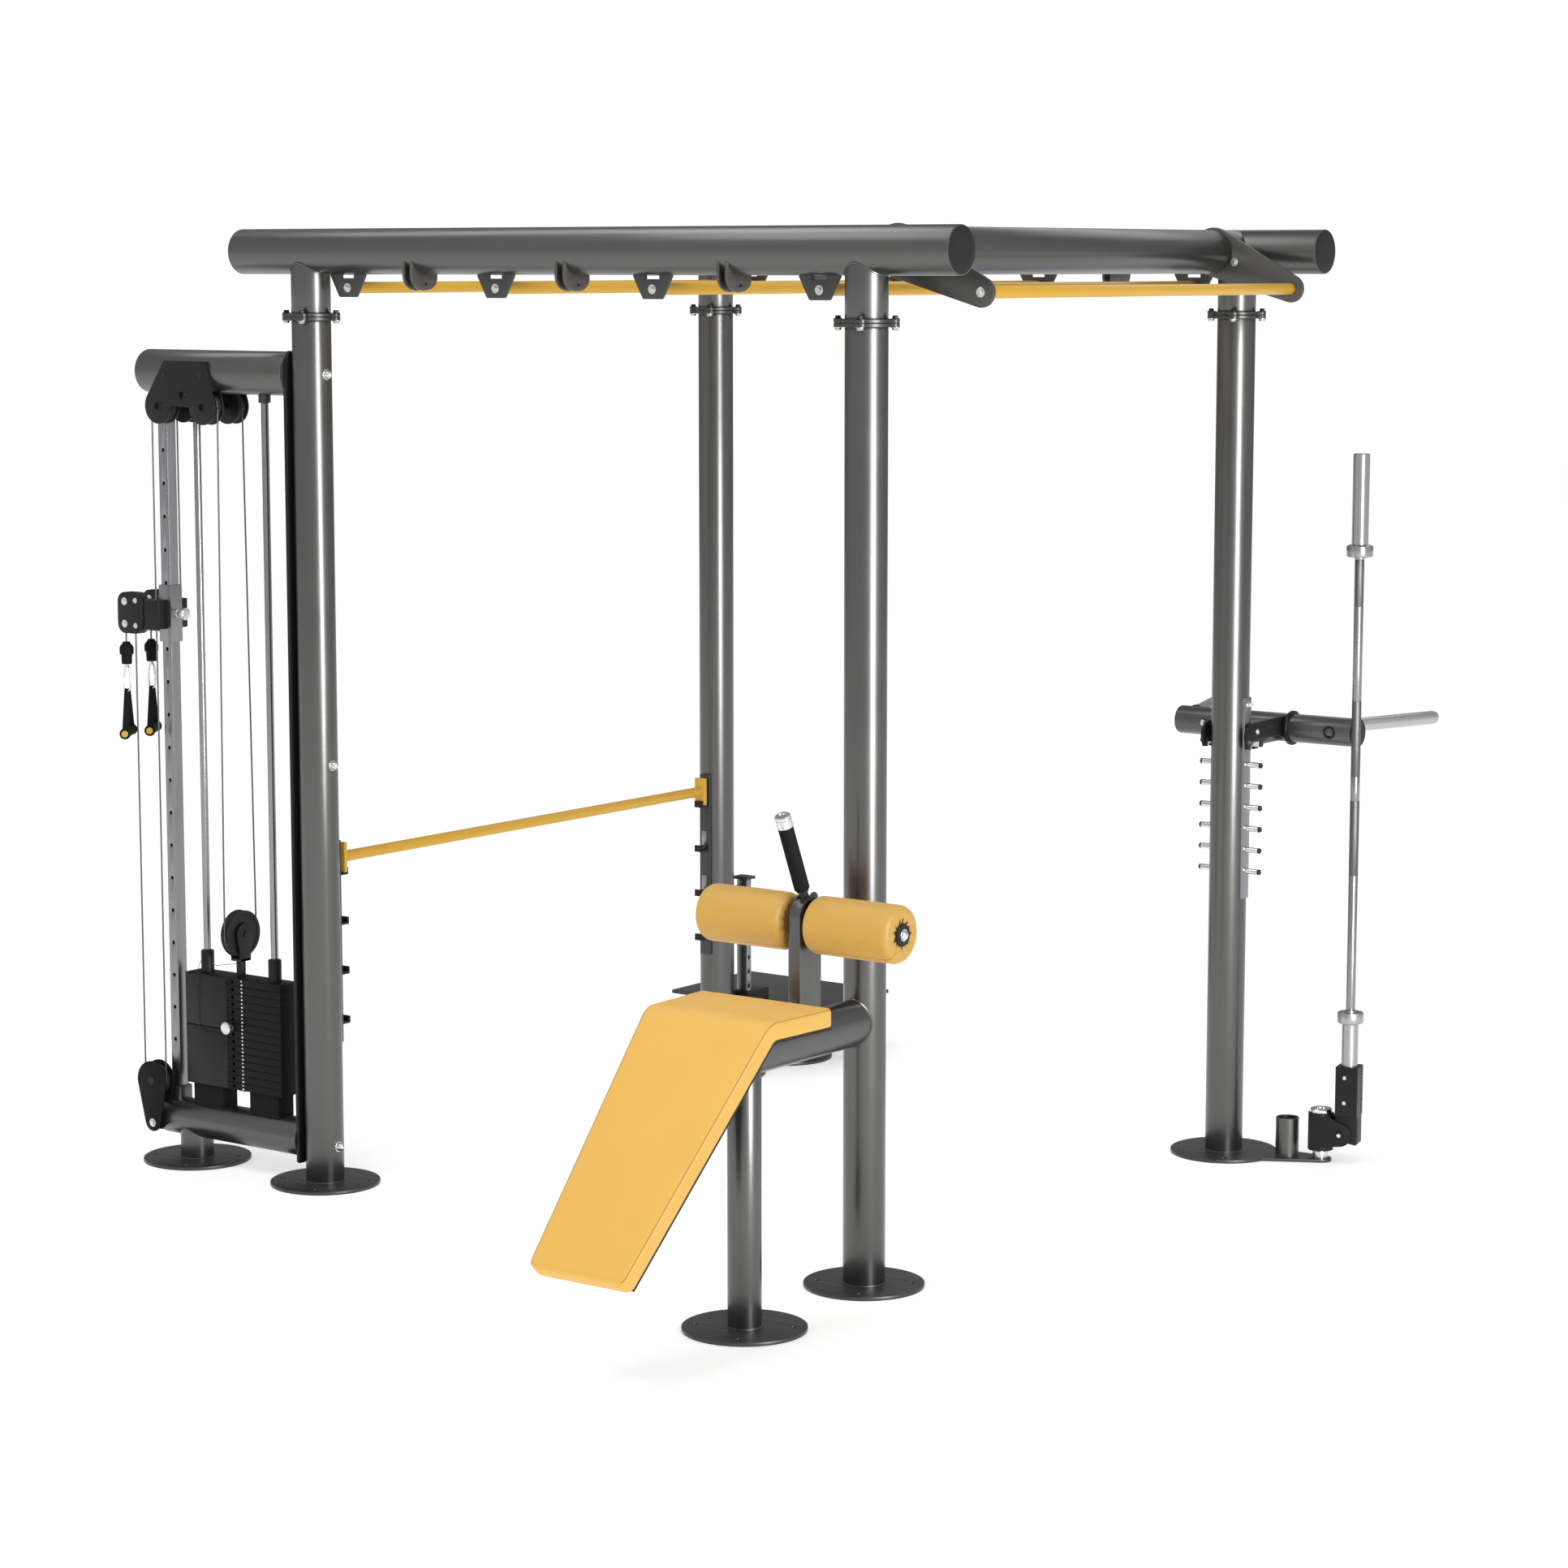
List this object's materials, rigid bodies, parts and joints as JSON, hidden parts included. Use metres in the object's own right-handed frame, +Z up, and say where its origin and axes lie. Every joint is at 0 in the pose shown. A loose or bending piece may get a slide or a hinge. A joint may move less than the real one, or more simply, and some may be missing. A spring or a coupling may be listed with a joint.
{
  "type": "cable crossover gym rig",
  "caption": "Post-frame gym rig with overhead rungs, a cable weight station with strap handles, a slanted bench with foam rollers, a dip bar, a step and a pivoting barbell.",
  "frame": {"origin": "on the floor under the middle of the rig's outline", "axes": "+Z up; +X along the long beams, towards the bench and barbell; +Y from the bench side to the step side"},
  "size_m": [3.1794, 3.805, 2.8295],
  "materials": {
    "frame": "satin dark grey",
    "black_metal": "satin black",
    "yellow_metal": "gloss yellow",
    "pad": "matt yellow cover over foam",
    "board": "black backing board",
    "chrome": "polished",
    "rubber": "matt black",
    "iron": "black enamel",
    "wheel": "matt black nylon",
    "cable": "steel wire rope in a dark sheath"
  },
  "bodies": {
    "rig": {"post_front_left": "frame", "post_front_right": "frame", "post_rear_left": "frame", "step_rail": "frame", "post_rear_right": "frame", "top_beam_front": "frame", "top_beam_rear": "frame", "side_beam_left": "frame", "side_beam_right": "frame", "outrigger_arm_front": "frame", "outrigger_arm_rear": "frame", "outrigger_bar": "yellow_metal", "rung_1": "yellow_metal", "rung_2": "yellow_metal", "rung_3": "yellow_metal", "rung_4": "yellow_metal", "station_side_plate": "black_metal", "station_top_beam": "frame", "station_base": "frame", "station_column": "chrome", "guide_rod_outer": "chrome", "guide_rod_inner": "chrome", "weight_plates_lower": "iron", "top_housing": "black_metal", "floor_wheel_housing": "black_metal", "cable_front": "cable", "cable_rear": "cable", "cable_stack": "cable", "cable_carriage_front": "cable", "cable_carriage_rear": "cable", "bench_frame": "frame", "bench_pad": "pad", "bench_board": "board", "bench_grip": "rubber", "roller_axle": "chrome", "landmine_base": "frame"},
    "crossbar": {"crossbar": "yellow_metal"},
    "stack": {"weight_plates_lifted": "iron", "stack_wheel_fork": "black_metal"},
    "selector_pin": {"selector_pin": "chrome"},
    "stack_wheel": {"stack_wheel": "wheel"},
    "top_wheel_outer_front": {"top_wheel_outer_front": "wheel"},
    "top_wheel_inner_front": {"top_wheel_inner_front": "wheel"},
    "top_wheel_outer_rear": {"top_wheel_outer_rear": "wheel"},
    "top_wheel_inner_rear": {"top_wheel_inner_rear": "wheel"},
    "floor_wheel": {"floor_wheel": "wheel"},
    "carriage": {"carriage": "black_metal"},
    "carriage_pin": {"carriage_pin": "chrome"},
    "handle_front": {"handle_front": "rubber"},
    "handle_rear": {"handle_rear": "rubber"},
    "foam_roller_left": {"foam_roller_left": "pad"},
    "foam_roller_right": {"foam_roller_right": "pad"},
    "dip_bar": {"dip_bar": "frame"},
    "step": {"step_platform": "black_metal"},
    "step_pin": {"step_pin": "rubber"},
    "landmine_swivel": {"landmine_swivel": "black_metal"},
    "landmine_holder": {"landmine_holder": "black_metal", "barbell_sleeve_lower": "chrome"},
    "barbell_shaft": {"barbell_shaft": "chrome"},
    "barbell_sleeve_upper": {"barbell_sleeve_upper": "chrome"}
  },
  "joints": [
    {"name": "stack_lift", "type": "slide", "parent": "rig", "child": "stack", "axis": [0, 0, 1], "range_m": [0, 0.95], "deforming": ["cable_stack"]},
    {"name": "selector_pin_pull", "type": "slide", "parent": "stack", "child": "selector_pin", "axis": [0, -1, 0], "range_m": [0, 0.06]},
    {"name": "stack_wheel_spin", "type": "hinge", "parent": "stack", "child": "stack_wheel", "pos_m": [-1.13436, -0.6775, 0.722], "axis": [1, 0, 0], "continuous": true},
    {"name": "top_wheel_outer_front_spin", "type": "hinge", "parent": "rig", "child": "top_wheel_outer_front", "pos_m": [-1.36436, -0.7295, 2.303], "axis": [0, 1, 0], "range_deg": [-1260, 0]},
    {"name": "top_wheel_inner_front_spin", "type": "hinge", "parent": "rig", "child": "top_wheel_inner_front", "pos_m": [-1.18086, -0.7295, 2.303], "axis": [0, 1, 0], "range_deg": [-1260, 0]},
    {"name": "top_wheel_outer_rear_spin", "type": "hinge", "parent": "rig", "child": "top_wheel_outer_rear", "pos_m": [-1.36436, -0.6255, 2.303], "axis": [0, 1, 0], "range_deg": [-1260, 0]},
    {"name": "top_wheel_inner_rear_spin", "type": "hinge", "parent": "rig", "child": "top_wheel_inner_rear", "pos_m": [-1.18086, -0.6255, 2.303], "axis": [0, 1, 0], "range_deg": [-1260, 0]},
    {"name": "floor_wheel_spin", "type": "hinge", "parent": "rig", "child": "floor_wheel", "pos_m": [-1.45386, -0.7295, 0.241], "axis": [0, 1, 0], "range_deg": [0, 1260]},
    {"name": "carriage_slide", "type": "slide", "parent": "rig", "child": "carriage", "axis": [0, 0, 1], "range_m": [-0.95, 0.4], "deforming": ["cable_carriage_front", "cable_carriage_rear"]},
    {"name": "carriage_pin_pull", "type": "slide", "parent": "carriage", "child": "carriage_pin", "axis": [1, 0, 0], "range_m": [0, 0.012], "stiffness_N_per_m": 700},
    {"name": "handle_front_pull", "type": "slide", "parent": "carriage", "child": "handle_front", "axis": [0, 0, -1], "range_m": [0, 0.95]},
    {"name": "handle_rear_pull", "type": "slide", "parent": "carriage", "child": "handle_rear", "axis": [0, 0, -1], "range_m": [0, 0.95]},
    {"name": "crossbar_lift", "type": "slide", "parent": "rig", "child": "crossbar", "axis": [0, 0, 1], "range_m": [0, 0.03]},
    {"name": "foam_roller_left_spin", "type": "hinge", "parent": "rig", "child": "foam_roller_left", "pos_m": [0.98564, -0.95, 1.026], "axis": [1, 0, 0], "continuous": true},
    {"name": "foam_roller_right_spin", "type": "hinge", "parent": "rig", "child": "foam_roller_right", "pos_m": [1.33964, -0.95, 1.026], "axis": [1, 0, 0], "continuous": true},
    {"name": "dip_bar_lift", "type": "slide", "parent": "rig", "child": "dip_bar", "axis": [0, 0, 1], "range_m": [0, 0.04]},
    {"name": "step_slide", "type": "slide", "parent": "rig", "child": "step", "axis": [0, 0, 1], "range_m": [0, 0.3]},
    {"name": "step_pin_pull", "type": "slide", "parent": "step", "child": "step_pin", "axis": [1, 0, 0], "range_m": [0, 0.014], "stiffness_N_per_m": 700},
    {"name": "landmine_turn", "type": "hinge", "parent": "rig", "child": "landmine_swivel", "pos_m": [1.46064, 1.33459, 0], "axis": [0, 0, 1], "range_deg": [-95, 95]},
    {"name": "landmine_tilt", "type": "hinge", "parent": "landmine_swivel", "child": "landmine_holder", "pos_m": [1.52567, 1.35033, 0.092], "axis": [-0.2351, 0.972, 0], "range_deg": [0, 76]},
    {"name": "barbell_shaft_spin", "type": "hinge", "parent": "landmine_holder", "child": "barbell_shaft", "pos_m": [1.54365, 1.35468, 0.474], "axis": [0, 0, 1], "continuous": true},
    {"name": "barbell_sleeve_upper_spin", "type": "hinge", "parent": "barbell_shaft", "child": "barbell_sleeve_upper", "pos_m": [1.54365, 1.35468, 1.852], "axis": [0, 0, 1], "continuous": true}
  ],
  "couplings": [
    {"joint": "handle_front_pull", "follows": "stack_lift", "ratio": 1},
    {"joint": "handle_rear_pull", "follows": "stack_lift", "ratio": 1},
    {"joint": "top_wheel_outer_front_spin", "follows": "stack_lift", "rad_per_m": -22.624},
    {"joint": "top_wheel_inner_front_spin", "follows": "stack_lift", "rad_per_m": -22.624},
    {"joint": "top_wheel_outer_rear_spin", "follows": "stack_lift", "rad_per_m": -22.624},
    {"joint": "top_wheel_inner_rear_spin", "follows": "stack_lift", "rad_per_m": -22.624},
    {"joint": "floor_wheel_spin", "follows": "stack_lift", "rad_per_m": 22.624}
  ]
}
